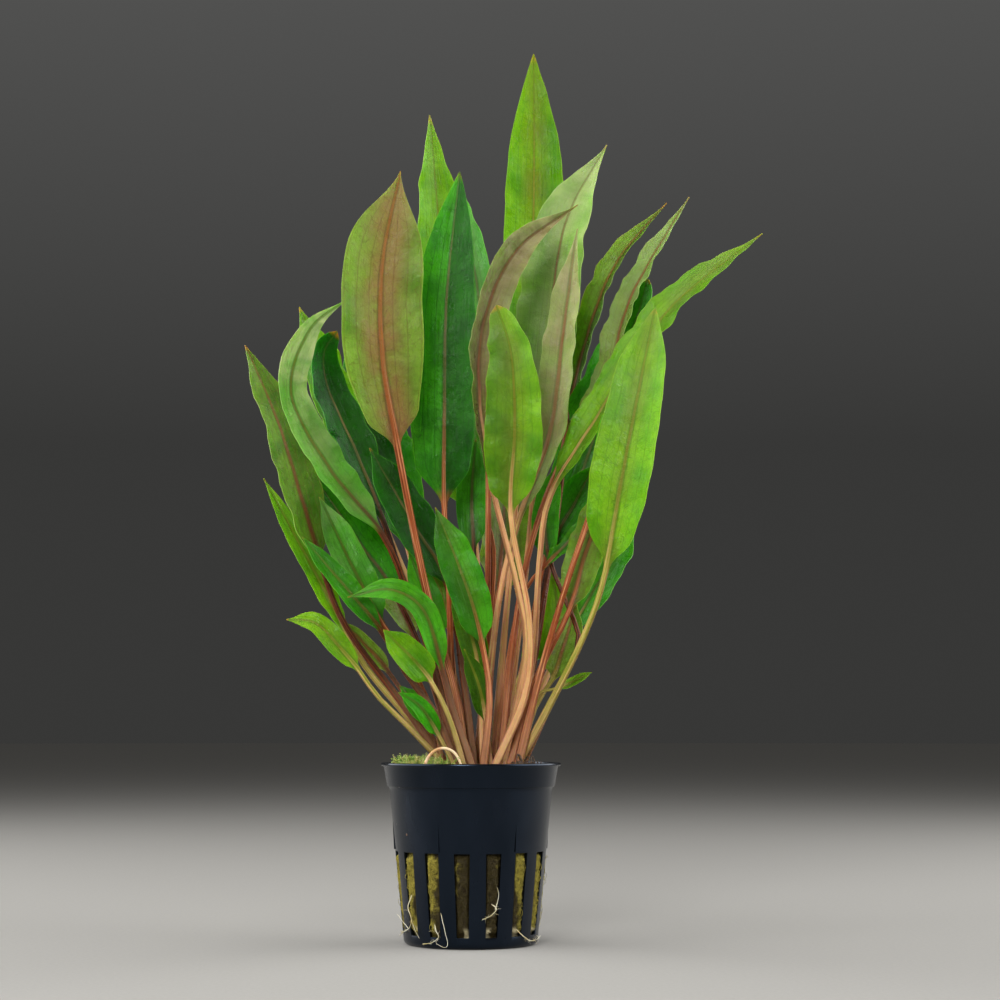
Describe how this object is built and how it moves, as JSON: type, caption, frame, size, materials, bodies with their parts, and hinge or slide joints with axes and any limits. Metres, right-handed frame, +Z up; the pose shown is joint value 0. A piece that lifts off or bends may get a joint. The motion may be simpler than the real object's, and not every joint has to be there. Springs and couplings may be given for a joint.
{
  "type": "potted cryptocoryne",
  "caption": "Bushy rosette of stalked lance-shaped leaves rising from a mineral wool plug in a small tapered slotted pot.",
  "frame": {"origin": "centre of the pot's flat underside", "axes": "+Z up along the pot's axis, -Y to the front that the tallest bronze leaf leans to, +X to the right"},
  "size_m": [0.1487, 0.0905, 0.262],
  "materials": {
    "pot_plastic": "moulded black polypropylene, satin",
    "mineral_wool": "wet mineral wool, olive and brown, fibrous",
    "moss": "fine wet moss strands",
    "root": "smooth pale root",
    "leaf_bright": "yellow-green leaf blade with veins, satin",
    "leaf_green": "mid-green leaf blade with veins, satin",
    "leaf_deep": "dark green leaf blade with veins, satin",
    "leaf_olive": "olive leaf blade with brown midrib, satin",
    "leaf_bronze": "bronze leaf blade, satin",
    "leaf_dull": "pale grey-green underside of a leaf blade, satin"
  },
  "bodies": {
    "root": {"pot": "pot_plastic", "wool_plug": "mineral_wool", "moss": "moss", "arched_root": "root", "root_left": "root", "root_front_left": "root", "root_front_right": "root", "root_right": "root", "leaf_tallest": "leaf_bright", "leaf_tall_left": "leaf_bright", "leaf_tall_inner": "leaf_green", "leaf_deep_green": "leaf_deep", "leaf_bronze_curl": "leaf_bronze", "leaf_pale_tall": "leaf_dull", "leaf_pink_rib": "leaf_dull", "leaf_bronze_broad": "leaf_olive", "leaf_wavy_front": "leaf_bright", "leaf_right_front": "leaf_bright", "leaf_right_hidden": "leaf_green", "leaf_right_long": "leaf_bright", "leaf_olive_right": "leaf_olive", "leaf_tan_right": "leaf_olive", "leaf_dark_right": "leaf_deep", "leaf_left_arch": "leaf_green", "leaf_left_olive": "leaf_olive", "leaf_left_hook": "leaf_deep", "leaf_left_back": "leaf_bright", "leaf_left_shade": "leaf_deep", "leaf_dark_slant": "leaf_deep", "leaf_mid_front": "leaf_green", "leaf_left_low": "leaf_bright", "leaf_left_small": "leaf_green", "leaf_left_dark": "leaf_deep", "leaf_left_pale_edge": "leaf_green", "leaf_bent_over": "leaf_green", "leaf_left_lowest": "leaf_bright", "leaf_left_thin": "leaf_olive", "leaf_short_front": "leaf_bright", "leaf_tiny_front": "leaf_green", "leaf_right_dark": "leaf_deep", "leaf_right_edge": "leaf_deep", "leaf_right_bent": "leaf_deep", "leaf_right_olive": "leaf_olive", "leaf_yellow_tip": "leaf_bright", "leaf_yellow_low": "leaf_olive", "leaf_small_right": "leaf_green", "leaf_thin_right": "leaf_bright", "leaf_inner_olive": "leaf_deep", "leaf_inner_left": "leaf_green", "leaf_inner_bright": "leaf_bright", "leaf_inner_front": "leaf_bright", "leaf_low_dark": "leaf_deep", "leaf_inner_low": "leaf_bright", "leaf_back_left": "leaf_green", "leaf_back_centre": "leaf_bright", "leaf_back_right": "leaf_green", "leaf_back_low_left": "leaf_olive", "leaf_back_low_right": "leaf_green", "leaf_back_bronze": "leaf_bronze"}
  },
  "joints": []
}
